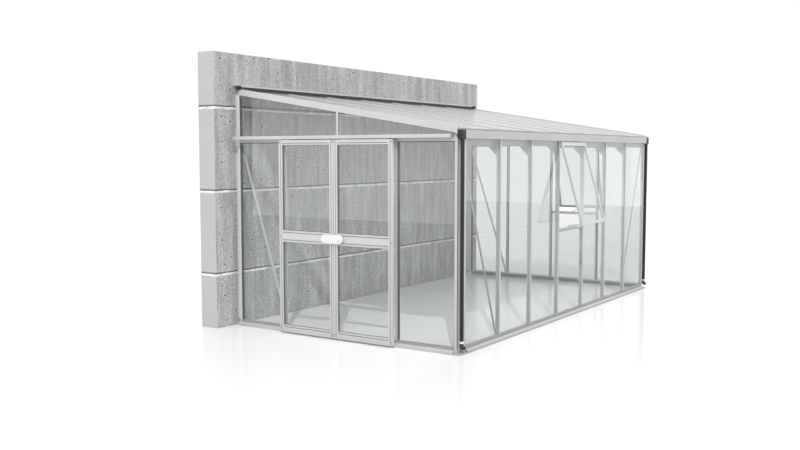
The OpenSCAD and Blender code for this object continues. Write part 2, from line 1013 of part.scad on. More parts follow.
module leaf_rails() {
    rail(leaf_foot, bottom_rail_h, false, true);
    rail(mid_rail_z - mid_rail_h / 2, mid_rail_h, true, true);
    rail(leaf_top - top_rail_h, top_rail_h, true, false);
}

module leaf_glass() {
    e = glass_edge - groove_d;
    w = leaf_w - 2 * stile_w - 2 * e;
    b0 = leaf_foot + bottom_rail_h + e;
    b1 = mid_rail_z - mid_rail_h / 2 - e;
    c0 = mid_rail_z + mid_rail_h / 2 + e;
    c1 = leaf_top - top_rail_h - e;
    translate([stile_w + e, leaf_t / 2 - glass_t / 2, b0])
        cube([w, glass_t, b1 - b0]);
    translate([stile_w + e, leaf_t / 2 - glass_t / 2, c0])
        cube([w, glass_t, c1 - c0]);
}

// two hangers on a leaf's top, each a plate with its wheel on the track's runner
module leaf_hangers()
    for (u = [hanger_in, leaf_w - hanger_in])
        translate([u, leaf_t / 2, leaf_top]) {
            translate([-hanger_w / 2, 0, 0])
                cube([hanger_w, hanger_t, axle_z + wheel_d / 3 - leaf_top]);
            translate([0, 0, axle_z - leaf_top])
                rotate([90, 0, 0])
                    cylinder(d = wheel_d, h = wheel_w);
        }

// a leaf's U runs away from the wall on the left leaf and towards it on the right leaf
module left_leaf()
    put()
        translate([-leaf_off - leaf_t, -bay + leaf_lap, 0])
            rotate([0, 0, -90])
                children();

module right_leaf()
    put()
        translate([-leaf_off - leaf_t, -3 * bay - leaf_lap, 0])
            mirror([1, -1, 0])
                children();

module door_left_stiles()
    color(silver) left_leaf() leaf_stiles();

module door_left_rails()
    color(silver) left_leaf() leaf_rails();

module door_left_glass()
    color(clear_green) left_leaf() leaf_glass();

module door_left_hangers()
    color(silver) left_leaf() leaf_hangers();

module door_right_stiles()
    color(silver) right_leaf() leaf_stiles();

module door_right_rails()
    color(silver) right_leaf() leaf_rails();

module door_right_glass()
    color(clear_green) right_leaf() leaf_glass();

module door_right_hangers()
    color(silver) right_leaf() leaf_hangers();

module capsule(l, h, t)
    rotate([90, 0, 0])
        linear_extrude(t) {
            translate([h / 2, -h / 2])
                square([l - h, h]);
            translate([h / 2, 0])
                circle(d = h);
            translate([l - h / 2, 0])
                circle(d = h);
        }

// white latch: a capsule fixed to the left leaf that reaches over the right one, with a lock barrel
module door_latch() {
    r = latch_h;
    color(white) left_leaf()
        translate([leaf_w - latch_l / 2, 0, mid_rail_z]) {
            translate([0, -latch_air, 0])
                capsule(latch_l, r, latch_t);
            translate([r / 4, 0, -r / 4])
                translate([0, -latch_air, 0])
                    cube([latch_l / 2 - r / 4 - 10, latch_air, r / 2]);
            translate([latch_l - r / 2, -latch_air - latch_t, 0])
                rotate([90, 0, 0])
                    cylinder(d = barrel_d, h = 6);
        }
}

wall_course_1();
wall_course_2();
wall_course_3();
wall_course_4();
eave_sill();
door_end_sill();
far_end_sill();
corner_posts();
wall_posts();
eave_bars();
door_posts();
far_end_bars();
upper_bars();
end_rails();
door_track();
eave_beam();
eave_gutter();
gutter_end_caps();
downpipes();
pipe_collars();
pipe_shoes();
pipe_outlets();
corner_feet();
ridge_profile();
ridge_seal();
ridge_end_blocks();
roof_bars();
verge_bars();
roof_sheets();
knee_braces();
eave_braces();
end_braces();
eave_glass();
door_end_glass();
far_end_glass();
vent_frames();
vent_sashes();
vent_glass();
vent_hinges();
vent_stays();
door_left_stiles();
door_left_rails();
door_left_glass();
door_left_hangers();
door_latch();
door_right_stiles();
door_right_rails();
door_right_glass();
door_right_hangers();
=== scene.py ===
# %% [markdown]
# # A lean-to glass greenhouse
# This lesson dresses a finished CAD model: a greenhouse of aluminium bars and glass that leans on a
# concrete wall. The solids already have the right shapes and sizes, so they are loaded first and never
# moved. Blender adds what a drawing leaves out: finishes, rubber seals, nuts and washers, and the chalky
# beads in the joints of the wall.

# %% Load the frame
import math
import bmesh
import bpy
from mathutils import Matrix, Vector


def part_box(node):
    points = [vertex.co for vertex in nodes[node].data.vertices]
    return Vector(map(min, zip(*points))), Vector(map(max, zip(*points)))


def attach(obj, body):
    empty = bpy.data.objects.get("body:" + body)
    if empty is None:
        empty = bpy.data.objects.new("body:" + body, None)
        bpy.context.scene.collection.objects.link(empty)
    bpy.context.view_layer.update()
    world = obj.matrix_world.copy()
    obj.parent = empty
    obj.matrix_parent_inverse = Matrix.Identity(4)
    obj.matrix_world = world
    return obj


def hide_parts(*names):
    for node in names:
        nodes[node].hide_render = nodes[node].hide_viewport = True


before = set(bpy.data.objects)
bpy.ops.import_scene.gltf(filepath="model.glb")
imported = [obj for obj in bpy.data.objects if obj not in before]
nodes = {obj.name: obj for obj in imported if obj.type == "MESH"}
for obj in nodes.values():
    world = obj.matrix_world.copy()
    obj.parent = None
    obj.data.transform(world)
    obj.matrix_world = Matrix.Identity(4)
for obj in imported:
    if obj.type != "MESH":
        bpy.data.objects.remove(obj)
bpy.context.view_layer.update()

scene = bpy.context.scene

# %% [markdown]
# The solids were drawn in millimetres from the corner where the door end meets the wall. A helper turns
# such a drawing point into scene metres, so every size below can be read straight from the drawing. The
# corner is found from the boxes of two solids instead of being typed in.

# %% Drawing points to scene metres
door_end_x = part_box("wall_posts")[0][0]
wall_face_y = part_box("wall_course_1")[0][1]


def at(x, y, z):
    return Vector((door_end_x + x / 1000, wall_face_y + y / 1000, z / 1000))


frame_l, depth = 4522.0, 2476.0
bay, bays = 620.0, 7
corner_offset, corner_strip, post_strip = 91.0, 35.0, 71.0
sill_h, eave_z = 56.0, 1772.0
rail_z, rail_top = 1742.0, 1800.0
bar_d, cap_w, cap_t, glass_t = 40.0, 25.0, 4.0, 4.0
bar_lines = [corner_offset + k * bay for k in range(bays + 1)]
roof_foot, roof_rise = 1803.0, 398.0
roof_slope = roof_rise / depth
wall_gap = 58.0


def under_roof(y):
    return roof_foot + (y + depth) * roof_slope


print("door end at x", round(door_end_x, 4), "wall face at y", round(wall_face_y, 4))

# %% [markdown]
# ## Tools for finishes
# A finish is a small graph of nodes. Wiring one by hand takes many lines, so one helper feeds a node: an
# input that is given as a socket is connected, and any other is set. The rest add one kind of node each and
# hand back its result.

# %% Node helpers


def feed(tree, node, inputs):
    for key, value in inputs.items():
        socket = node.inputs[key]
        if isinstance(value, bpy.types.NodeSocket):
            tree.links.new(value, socket)
        else:
            socket.default_value = value


def make(tree, kind, inputs=None, **settings):
    node = tree.nodes.new(kind)
    for key, value in settings.items():
        setattr(node, key, value)
    feed(tree, node, inputs or {})
    return node


def blend_colour(tree, factor, a, b, mode="MIX"):
    node = make(tree, "ShaderNodeMix", {0: factor, 6: a, 7: b}, data_type="RGBA", blend_type=mode)
    return node.outputs[2]


def remap(tree, value, from_min, from_max, to_min, to_max):
    node = make(tree, "ShaderNodeMapRange", {0: value, 1: from_min, 2: from_max, 3: to_min, 4: to_max})
    return node.outputs[0]


def maths(tree, operation, a, b=0.0, clamp=False):
    node = make(tree, "ShaderNodeMath", {0: a, 1: b}, operation=operation, use_clamp=clamp)
    return node.outputs[0]


def noise(tree, place, scale, detail, roughness=0.5):
    inputs = {"Vector": place, "Scale": scale, "Detail": detail, "Roughness": roughness}
    return make(tree, "ShaderNodeTexNoise", inputs).outputs[0]


def bumps(tree, height, strength, distance):
    inputs = {"Strength": strength, "Distance": distance, "Height": height}
    return make(tree, "ShaderNodeBump", inputs).outputs[0]


def split_axes(tree, vector):
    return make(tree, "ShaderNodeSeparateXYZ", {0: vector}).outputs


def join_axes(tree, *axes):
    return make(tree, "ShaderNodeCombineXYZ", dict(enumerate(axes))).outputs[0]


# %% [markdown]
# An effect that several finishes share becomes a group. Each one takes a place and a few sizes, and gives
# out masks. Every material starts from the solid's own coordinates, so nothing has to be unwrapped.

# %% Groups and materials


def open_group(name, sizes, masks):
    group = bpy.data.node_groups.new(name, "ShaderNodeTree")
    group.interface.new_socket("Place", in_out="INPUT", socket_type="NodeSocketVector")
    for label, value in sizes.items():
        socket = group.interface.new_socket(label, in_out="INPUT", socket_type="NodeSocketFloat")
        socket.default_value = value
    for label in masks:
        group.interface.new_socket(label, in_out="OUTPUT", socket_type="NodeSocketFloat")
    return group, group.nodes.new("NodeGroupInput").outputs, group.nodes.new("NodeGroupOutput")


def use_group(tree, group, inputs):
    return make(tree, "ShaderNodeGroup", inputs, node_tree=group).outputs


def open_material(name):
    material = bpy.data.materials.new(name)
    material.use_nodes = True
    tree = material.node_tree
    place = make(tree, "ShaderNodeTexCoord").outputs["Object"]
    return material, tree, tree.nodes["Principled BSDF"], place


# %% [markdown]
# ## Shared effects
# Three effects turn up on more than one finish. Fine grain is the speckle of cast or moulded stuff. Drawn
# streaks are the long faint lines that a die leaves on extruded aluminium. Foot dust is the pale dust that
# settles on the lowest hand's breadth of anything that stands on the ground.

# %% Fine grain
grain_sizes = {"Scale": 60.0, "Cloud scale": 3.0}
fine_grain, sizes, masks = open_group("fine_grain", grain_sizes, ["Speckle", "Cloud"])
speckle = noise(fine_grain, sizes["Place"], sizes["Scale"], 4.0, 0.6)
cloud = noise(fine_grain, sizes["Place"], sizes["Cloud scale"], 3.0)
feed(fine_grain, masks, {"Speckle": speckle, "Cloud": cloud})

# %% Drawn streaks
streak_sizes = {"Across": 220.0, "Along": 1.5}
drawn_streaks, sizes, masks = open_group("drawn_streaks", streak_sizes, ["Upright", "Level"])
across, along = sizes["Across"], sizes["Along"]
for label, axes in (("Upright", (across, across, along)), ("Level", (along, across, across))):
    stretch = {0: sizes["Place"], 1: join_axes(drawn_streaks, *axes)}
    spread = make(drawn_streaks, "ShaderNodeVectorMath", stretch, operation="MULTIPLY")
    feed(drawn_streaks, masks, {label: noise(drawn_streaks, spread.outputs[0], 1.0, 3.0, 0.65)})

# %% Foot dust
foot_dust, sizes, masks = open_group("foot_dust", {"Height": 0.12, "Amount": 0.5}, ["Dust"])
high = maths(foot_dust, "DIVIDE", split_axes(foot_dust, sizes["Place"])["Z"], sizes["Height"])
fade = remap(foot_dust, high, 0.0, 1.0, 1.0, 0.0)
patchy = maths(foot_dust, "MULTIPLY", fade, noise(foot_dust, sizes["Place"], 14.0, 5.0))
feed(foot_dust, masks, {"Dust": maths(foot_dust, "MULTIPLY", patchy, sizes["Amount"], True)})
print("shader groups:", [g.name for g in bpy.data.node_groups])

# %% [markdown]
# ## Aluminium
# The bars, rails and door leaves are extruded and anodised to a pale satin silver. The anodised skin
# scatters nearly as much light as the metal under it mirrors, so Metallic stands well below 1 and the pale
# grey goes into Base Color. The die lines run along each bar; because bars stand and rails lie, both
# directions are mixed. One function makes four greys. Frame, doors and gutter differ a little in tone. The
# palest grey is painted light: a lit copy for parts that stand in shade. The darkest also paints shade onto
# the eave sill, which the light from above makes too bright.

# %% Anodised aluminium in four tones


def anodised(name, light, dark, rough):
    material, tree, shader, place = open_material(name)
    lines = use_group(tree, drawn_streaks, {"Place": place, "Across": 260.0, "Along": 2.0})
    grain = use_group(tree, fine_grain, {"Place": place, "Scale": 900.0, "Cloud scale": 2.2})
    dust = use_group(tree, foot_dust, {"Place": place, "Height": 0.10, "Amount": 0.45})
    both = maths(tree, "MULTIPLY", lines["Upright"], lines["Level"])
    tone = maths(tree, "ADD", maths(tree, "MULTIPLY", both, 1.4), grain["Cloud"])
    metal = blend_colour(tree, remap(tree, tone, 0.55, 1.25, 0.0, 1.0), dark, light)
    fine = maths(tree, "ADD", both, grain["Speckle"])
    feed(tree, shader, {
        "Base Color": blend_colour(tree, dust["Dust"], metal, (0.52, 0.50, 0.47, 1)),
        "Metallic": 0.35,
        "Roughness": remap(tree, fine, 0.4, 1.1, rough - 0.07, rough + 0.09),
        "Normal": bumps(tree, fine, 0.05, 0.0006),
    })
    return material


frame_metal = anodised("anodised_frame", (0.66, 0.665, 0.67, 1), (0.57, 0.575, 0.58, 1), 0.40)
door_metal = anodised("anodised_door", (0.71, 0.715, 0.72, 1), (0.63, 0.635, 0.64, 1), 0.38)
# painted light: the palest copy of the aluminium, for parts that stand in shade
lit_metal_painted = anodised("anodised_painted_lit", (0.80, 0.805, 0.81, 1), (0.73, 0.735, 0.74, 1), 0.40)
# painted shade: this darker copy also darkens the eave sill, which is lit from above
gutter_metal_and_shade = anodised("anodised_gutter", (0.56, 0.565, 0.57, 1), (0.49, 0.495, 0.50, 1), 0.42)
print("metals:", frame_metal.name, door_metal.name, lit_metal_painted.name, gutter_metal_and_shade.name)

# %% [markdown]
# ## Glass and roof sheet
# The panes are clear glass, 4 mm thick, with the faint grey-green of ordinary float glass. They are real
# solids with two faces, so a smooth Principled shader with full transmission bends and mirrors light. The
# IOR is higher than that of real glass, so that the panes mirror the backdrop as strongly as in the photo.
# A very weak wave keeps reflections from being perfectly straight. The roof sheets are opal: they scatter
# light, let some through and have a glossy skin. Bent light takes a renderer long to find, so a ray that
# only asks whether a lamp can be seen passes straight through: the room inside is then as bright as it
# should be.

# %% Light through a pane


def let_light_through(tree, shader, tint):
    ray = make(tree, "ShaderNodeLightPath").outputs["Is Shadow Ray"]
    clear = make(tree, "ShaderNodeBsdfTransparent", {"Color": tint})
    either = make(tree, "ShaderNodeMixShader", {0: ray, 1: shader.outputs[0], 2: clear.outputs[0]})
    feed(tree, tree.nodes["Material Output"], {"Surface": either.outputs[0]})


# %% Clear glass
clear_glass, tree, shader, place = open_material("clear_glass")
grain = use_group(tree, fine_grain, {"Place": place, "Scale": 2.5, "Cloud scale": 0.8})
dust = use_group(tree, foot_dust, {"Place": place, "Height": 0.35, "Amount": 0.30})
tint = blend_colour(tree, grain["Cloud"], (0.872, 0.895, 0.897, 1), (0.892, 0.909, 0.911, 1))
feed(tree, shader, {
    "Base Color": blend_colour(tree, dust["Dust"], tint, (0.86, 0.87, 0.86, 1)),
    "Transmission Weight": 1.0,
    "Roughness": 0.0,
    "IOR": 1.78,
    "Normal": bumps(tree, grain["Speckle"], 0.02, 0.002),
})
let_light_through(tree, shader, (0.97, 0.975, 0.974, 1))

# %% Opal roof sheet
opal_sheet, tree, shader, place = open_material("opal_roof_sheet")
grain = use_group(tree, fine_grain, {"Place": place, "Scale": 40.0, "Cloud scale": 1.2})
cell_half, rib_half = 0.008, 0.0022
cells = maths(tree, "PINGPONG", split_axes(tree, place)["X"], cell_half)
rib = maths(tree, "MULTIPLY", remap(tree, cells, 0.0, rib_half, 1.0, 0.0), 0.05)
skin = blend_colour(tree, grain["Cloud"], (0.50, 0.51, 0.515, 1), (0.53, 0.54, 0.545, 1))
feed(tree, shader, {
    "Base Color": blend_colour(tree, rib, skin, (0.44, 0.45, 0.455, 1)),
    "Roughness": remap(tree, grain["Cloud"], 0.3, 0.7, 0.20, 0.24),
    "Transmission Weight": 0.35,
    "IOR": 1.55,
})
let_light_through(tree, shader, (0.45, 0.455, 0.455, 1))
print("sheets:", clear_glass.name, opal_sheet.name)

# %% [markdown]
# ## Plastics and rubber
# The downpipe, its fittings and the gutter's end caps are black moulded plastic; the latch and the pipe
# collars are white. Moulded plastic has a fine even texture and a soft highlight that changes a little from
# place to place. The glazing seals are rubber: duller in the highlight and a little chalky. Nuts and
# washers are zinc-plated steel, which the aluminium's function gives in darker greys.

# %% Moulded plastics, rubber and zinc


def moulded(name, colour, other, rough, texture, dust_amount):
    material, tree, shader, place = open_material(name)
    grain = use_group(tree, fine_grain, {"Place": place, "Scale": texture, "Cloud scale": 5.0})
    dust = use_group(tree, foot_dust, {"Place": place, "Height": 0.10, "Amount": dust_amount})
    base = blend_colour(tree, grain["Cloud"], colour, other)
    feed(tree, shader, {
        "Base Color": blend_colour(tree, dust["Dust"], base, (0.45, 0.43, 0.40, 1)),
        "Roughness": remap(tree, grain["Speckle"], 0.3, 0.7, rough - 0.06, rough + 0.08),
        "Normal": bumps(tree, grain["Speckle"], 0.12, 0.0004),
    })
    return material


black, worn_black = (0.016, 0.016, 0.017, 1), (0.026, 0.026, 0.027, 1)
black_plastic = moulded("black_plastic", black, worn_black, 0.42, 700.0, 0.25)
white_plastic = moulded("white_plastic", (0.70, 0.70, 0.695, 1), (0.76, 0.76, 0.755, 1), 0.30, 500.0, 0.15)
seal_rubber = moulded("seal_rubber", (0.075, 0.077, 0.080, 1), (0.115, 0.117, 0.120, 1), 0.62, 900.0, 0.20)
zinc_steel = anodised("zinc_steel", (0.50, 0.50, 0.49, 1), (0.36, 0.36, 0.36, 1), 0.34)
print("moulded:", black_plastic.name, white_plastic.name, seal_rubber.name, zinc_steel.name)

# %% [markdown]
# ## Concrete
# Each course of the wall was cast in a form. Its front and back faces show tall streaks where water ran
# down the form, a fine grey speckle, and blowholes: small round pits with a pale rim, painted nearly black
# inside as their shade. The two narrow ends came off a smooth board; they are even, and are painted paler
# as if more brightly lit. At each joint a dark line of painted shade lies along the edge above, and the
# edge below is pale.

# %% Cast concrete, streaks
joint_heights = [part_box("wall_course_" + course)[1][2] for course in "123"]
course_h = joint_heights[1] - joint_heights[0]
concrete, tree, shader, place = open_material("cast_concrete")
spot = split_axes(tree, place)
facing = split_axes(tree, make(tree, "ShaderNodeNewGeometry").outputs["True Normal"])
# painted light: the end faces are picked out by their direction, to be painted paler as if lit more brightly
end_faces_painted_lit = remap(tree, maths(tree, "ABSOLUTE", facing["X"]), 0.5, 0.9, 0.0, 1.0)
grain = use_group(tree, fine_grain, {"Place": place, "Scale": 62.0, "Cloud scale": 2.3})

# noise squeezed across the wall and stretched down it, moved along for each course
course_z = maths(tree, "SNAP", maths(tree, "ADD", spot["Z"], course_h - joint_heights[0]), course_h)
squeeze = [maths(tree, "MULTIPLY", a, b) for a, b in ((spot["X"], 13.0), (course_z, 7.0), (spot["Z"], 1.6))]
streak = noise(tree, join_axes(tree, *squeeze), 1.0, 5.0, 0.62)

# %% Cast concrete, blowholes
# the middle of some cells of a flat Voronoi pattern, the same on the front and the back
leaning = maths(tree, "ADD", spot["Z"], maths(tree, "MULTIPLY", spot["X"], 0.35))
flat_place = join_axes(tree, maths(tree, "MULTIPLY", spot["X"], 0.75), leaning)
cell_inputs = {"Vector": flat_place, "Scale": 9.5, "Randomness": 1.0}
pits = make(tree, "ShaderNodeTexVoronoi", cell_inputs, feature="F1", voronoi_dimensions="2D").outputs
lot = make(tree, "ShaderNodeSeparateColor", {0: pits["Color"]}).outputs
chosen = maths(tree, "GREATER_THAN", lot[0], 0.50)
ratio = maths(tree, "DIVIDE", pits["Distance"], remap(tree, lot[1], 0.0, 1.0, 0.04, 0.11))
hole = maths(tree, "MULTIPLY", remap(tree, ratio, 0.75, 1.05, 1.0, 0.0), chosen)
from_rim = maths(tree, "ABSOLUTE", maths(tree, "SUBTRACT", ratio, 1.45))
rim = maths(tree, "MULTIPLY", remap(tree, from_rim, 0.0, 0.5, 1.0, 0.0), chosen)

# %% Cast concrete, colours
form_face = make(tree, "ShaderNodeValToRGB", {0: streak})
wet, dry = form_face.color_ramp.elements
wet.position, wet.color = 0.30, (0.245, 0.247, 0.247, 1)
dry.position, dry.color = 0.70, (0.42, 0.422, 0.422, 1)
speckles = blend_colour(tree, grain["Speckle"], (-0.25, -0.25, -0.25, 1), (1.25, 1.25, 1.25, 1))
speckled = blend_colour(tree, 0.85, form_face.outputs[0], speckles, "OVERLAY")
clouds = blend_colour(tree, grain["Cloud"], (0.3, 0.3, 0.3, 1), (0.7, 0.7, 0.7, 1))
clouded = blend_colour(tree, 0.25, speckled, clouds, "OVERLAY")
rimmed = blend_colour(tree, maths(tree, "MULTIPLY", rim, 0.45), clouded, (0.70, 0.70, 0.69, 1))
# painted shade: the blowholes are painted nearly black, the shade inside them
pits_painted_shade = blend_colour(tree, hole, rimmed, (0.09, 0.09, 0.09, 1))
# painted light: the smooth ends get a paler colour than the form faces, a painted brighter light
smooth_end_painted_lit = blend_colour(tree, grain["Cloud"], (0.42, 0.424, 0.424, 1), (0.47, 0.474, 0.474, 1))
cast = blend_colour(tree, end_faces_painted_lit, pits_painted_shade, smooth_end_painted_lit)

# %% Cast concrete, painted joint shade and relief
# painted shade: a dark line just above each joint, the shade in the joint
joint_shade_middle, joint_shade_full, joint_shade_gone = 0.007, 0.006, 0.012
wobble = maths(tree, "MULTIPLY", maths(tree, "SUBTRACT", grain["Speckle"], 0.5), 0.010)
uneven_z = maths(tree, "ADD", spot["Z"], wobble)
joint_shade = 0.0
for joint_z in joint_heights:
    off_line = maths(tree, "ABSOLUTE", maths(tree, "SUBTRACT", uneven_z, joint_z + joint_shade_middle))
    joint_shade = maths(tree, "MAXIMUM", joint_shade, remap(tree, off_line, joint_shade_full, joint_shade_gone, 1.0, 0.0))
joint_shaded = blend_colour(tree, maths(tree, "MULTIPLY", joint_shade, 0.85), cast, (0.10, 0.10, 0.10, 1))
dust = use_group(tree, foot_dust, {"Place": place, "Height": 0.14, "Amount": 0.35})
raised = maths(tree, "MULTIPLY", grain["Speckle"], 0.35)
relief = maths(tree, "SUBTRACT", raised, maths(tree, "MULTIPLY", hole, 1.6))
feed(tree, shader, {
    "Base Color": blend_colour(tree, dust["Dust"], joint_shaded, (0.34, 0.335, 0.325, 1)),
    "Roughness": remap(tree, grain["Speckle"], 0.3, 0.7, 0.72, 0.92),
    "Normal": bumps(tree, relief, 0.45, 0.004),
})

# %% Chalk of the joint beads
chalk, tree, shader, place = open_material("joint_chalk")
grain = use_group(tree, fine_grain, {"Place": place, "Scale": 45.0, "Cloud scale": 9.0})
lime = remap(tree, grain["Cloud"], 0.38, 0.62, 0.0, 1.0)
pale = blend_colour(tree, lime, (0.58, 0.58, 0.575, 1), (0.88, 0.88, 0.87, 1))
sand = maths(tree, "MULTIPLY", grain["Speckle"], 0.30)
feed(tree, shader, {
    "Base Color": blend_colour(tree, sand, pale, (0.50, 0.50, 0.49, 1)),
    "Roughness": 0.9,
    "Normal": bumps(tree, grain["Speckle"], 0.5, 0.003),
})
print("wall finishes:", concrete.name, chalk.name)

# %% [markdown]
# ## Finishes on the solids
# Every solid keeps its shape and gets its finish through its material slot. The list below reads like a
# parts list: one entry for each finish, and every node of the model turns up once.

# %% Give each solid its finish
finish_of = {
    concrete: ["wall_course_1", "wall_course_2", "wall_course_3", "wall_course_4"],
    frame_metal: ["eave_bars", "far_end_bars", "door_end_sill", "far_end_sill", "corner_posts", "door_posts",
                  "upper_bars", "end_rails", "door_track", "corner_feet", "ridge_profile", "roof_bars",
                  "verge_bars", "eave_braces", "vent_frames", "vent_sashes", "vent_hinges", "vent_stays"],
    # painted light: the lit copy goes on the posts, braces and beam that stand in shade
    lit_metal_painted: ["wall_posts", "end_braces", "eave_beam", "knee_braces"],
    # painted shade: the eave sill gets the darker copy
    gutter_metal_and_shade: ["eave_gutter", "eave_sill"],
    door_metal: ["door_left_stiles", "door_left_rails", "door_left_hangers",
                 "door_right_stiles", "door_right_rails", "door_right_hangers"],
    black_plastic: ["gutter_end_caps", "downpipes", "pipe_shoes", "pipe_outlets",
                    "ridge_end_blocks", "ridge_seal"],
    white_plastic: ["pipe_collars", "door_latch"],
    clear_glass: ["eave_glass", "door_end_glass", "far_end_glass", "vent_glass",
                  "door_left_glass", "door_right_glass"],
    opal_sheet: ["roof_sheets"],
}
for finish, names in finish_of.items():
    for name in names:
        for material_slot in nodes[name].material_slots:
            material_slot.material = finish
bare = set(nodes) - {name for names in finish_of.values() for name in names}
print("nodes without a finish:", sorted(bare))

# %% [markdown]
# ## Tools for made pieces
# Seals, nuts and beads repeat all over the building, so Geometry Nodes trees make them. A tree gets named
# inputs for its sizes and its finish. One helper opens such a tree and one closes it. The next runs it on a
# start mesh, takes the result as a plain mesh and hangs it on the body that carries it.

# %% Geometry helpers


def open_tree(name, sizes):
    tree = bpy.data.node_groups.new(name, "GeometryNodeTree")
    tree.interface.new_socket("Geometry", in_out="INPUT", socket_type="NodeSocketGeometry")
    for label, value in sizes.items():
        kind = "NodeSocketInt" if isinstance(value, int) else "NodeSocketFloat"
        socket = tree.interface.new_socket(label, in_out="INPUT", socket_type=kind)
        socket.default_value = value
    tree.interface.new_socket("Finish", in_out="INPUT", socket_type="NodeSocketMaterial")
    tree.interface.new_socket("Geometry", in_out="OUTPUT", socket_type="NodeSocketGeometry")
    return tree, tree.nodes.new("NodeGroupInput").outputs


def close_tree(tree, geometry, finish):
    solid = make(tree, "GeometryNodeRealizeInstances", {"Geometry": geometry})
    dressed = make(tree, "GeometryNodeSetMaterial", {"Geometry": solid.outputs[0], "Material": finish})
    feed(tree, tree.nodes.new("NodeGroupOutput"), {"Geometry": dressed.outputs[0]})


def place_piece(name, mesh, body):
    piece = bpy.data.objects.new(name, mesh)
    scene.collection.objects.link(piece)
    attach(piece, body)
    mesh.calc_loop_triangles()
    print("made", name, "on", body, "with", len(mesh.loop_triangles), "triangles")
    return piece


def run_tree(name, start, tree, sizes, body):
    holder = bpy.data.objects.new(name + "_start", start)
    scene.collection.objects.link(holder)
    maker = holder.modifiers.new("maker", "NODES")
    maker.node_group = tree
    for item in tree.interface.items_tree:
        if item.in_out == "INPUT" and item.name in sizes:
            maker[item.identifier] = sizes[item.name]
    made = bpy.data.meshes.new_from_object(holder.evaluated_get(bpy.context.evaluated_depsgraph_get()))
    made.name = name
    holder.modifiers.remove(maker)
    bpy.data.objects.remove(holder)
    return place_piece(name, made, body)


# %% [markdown]
# ## Glazing seals
# A rubber bead lies in the corner between every pane and the metal that holds it, inside and out. One could
# sweep each bead by hand; here the start mesh is only a list of straight runs, and the tree turns each run
# into a curve and sweeps a small round section along it. Changing one radius changes every seal of that
# kind.

# %% The seal tree
seal_tree, sizes = open_tree("seal_runs", {"Radius": 0.002, "Sides": 8})
path = make(seal_tree, "GeometryNodeMeshToCurve", {"Mesh": sizes["Geometry"]}).outputs[0]
ring_inputs = {"Resolution": sizes["Sides"], "Radius": sizes["Radius"]}
ring = make(seal_tree, "GeometryNodeCurvePrimitiveCircle", ring_inputs).outputs[0]
swept = make(seal_tree, "GeometryNodeCurveToMesh", {"Curve": path, "Profile Curve": ring, "Fill Caps": True})
close_tree(seal_tree, swept.outputs[0], sizes["Finish"])


def lay_seals(name, runs, radius, rubber, body):
    points = [point for run in runs for point in run]
    start = bpy.data.meshes.new(name + "_runs")
    start.from_pydata(points, [(2 * i, 2 * i + 1) for i in range(len(runs))], [])
    run_sizes = {"Radius": radius / 1000, "Sides": 8, "Finish": rubber}
    return run_tree(name, start, seal_tree, run_sizes, body)


# %% [markdown]
# On the eave side a bead runs round each pane, outside against the cap and inside against the bar's web.
# The beads sink a little into what they seal, so they stand off by only a part of their radius. The pane
# under the vent is short.

# %% Seals of the eave panes
bead = 1.8
edge = cap_w / 2 + bead * 0.6
faces = (cap_t - bead * 0.3, cap_t + glass_t + bead * 0.4)
web_half = 3.0
vent_foot, eave_vent_bay, far_vent_bay = 876.0, 3, 2
runs = []
for k in range(bays):
    top = vent_foot if k == eave_vent_bay else eave_z
    x0, x1 = bar_lines[k], bar_lines[k + 1]
    for face, inset in zip(faces, (edge, web_half + bead)):
        for x in (x0 + inset, x1 - inset):
            runs.append([at(x, -depth + face, sill_h), at(x, -depth + face, top)])
        for z in (sill_h + bead * 0.7, top - bead):
            runs.append([at(x0 + edge, -depth + face, z), at(x1 - edge, -depth + face, z)])
grey_rubber = moulded("grey_rubber", (0.26, 0.263, 0.266, 1), (0.34, 0.343, 0.346, 1), 0.60, 900.0, 0.20)
lay_seals("eave_seals", runs, bead, grey_rubber, "greenhouse")

# %% [markdown]
# The two ends have the same beads in darker rubber: round the panes below the rail, and round the sloping
# panes above it. In the door end the two middle bays are the doorway.

# %% Seals of the end panes
end_lines = [-post_strip, -bay, -2 * bay, -3 * bay, -depth + corner_strip]
upper_corner = -depth + bar_d + 8.0
upper_panes = ((-post_strip - edge, -2 * bay + edge), (-2 * bay - edge, upper_corner + bead))
runs = []
for end_x, inward, panes in ((0.0, 1.0, (0, 3)), (frame_l, -1.0, (0, 1, 2, 3))):
    for x in [end_x + inward * face for face in faces]:
        for k in panes:
            top = vent_foot if inward < 0 and k == far_vent_bay else rail_z
            y0, y1 = end_lines[k] - edge, end_lines[k + 1] + edge
            for y in (y0, y1):
                runs.append([at(x, y, sill_h), at(x, y, top)])
            for z in (sill_h + bead * 0.7, top - bead):
                runs.append([at(x, y0, z), at(x, y1, z)])
        for y0, y1 in upper_panes:
            for y in (y0, y1):
                runs.append([at(x, y, rail_top), at(x, y, under_roof(y) - bead)])
            runs.append([at(x, y, rail_top + bead * 0.7) for y in (y0, y1)])
            runs.append([at(x, y, under_roof(y) - bead) for y in (y0, y1)])
lay_seals("glazing_seals", runs, bead, seal_rubber, "greenhouse")

# %% [markdown]
# A broad grey gasket covers the sill's upright below the panes on all three sides. Its dark grey is partly
# painted shade, the shade on that upright. It is flat, so a box of each run does. What is at one end of the
# building is mirrored at the other.

# %% Gaskets on the sill, with painted shade


def box_mesh(name, boxes, finish):
    work = bmesh.new()
    for low, high in boxes:
        a, b = at(*low), at(*high)
        spread = Matrix.Diagonal((abs(b.x - a.x), abs(b.y - a.y), abs(b.z - a.z), 1.0))
        bmesh.ops.create_cube(work, size=1.0, matrix=Matrix.Translation((a + b) / 2) @ spread)
    mesh = bpy.data.meshes.new(name)
    work.to_mesh(mesh)
    work.free()
    mesh.materials.append(finish)
    return mesh


def both_ends(x0, x1):
    return ((x0, x1), (frame_l - x1, frame_l - x0))


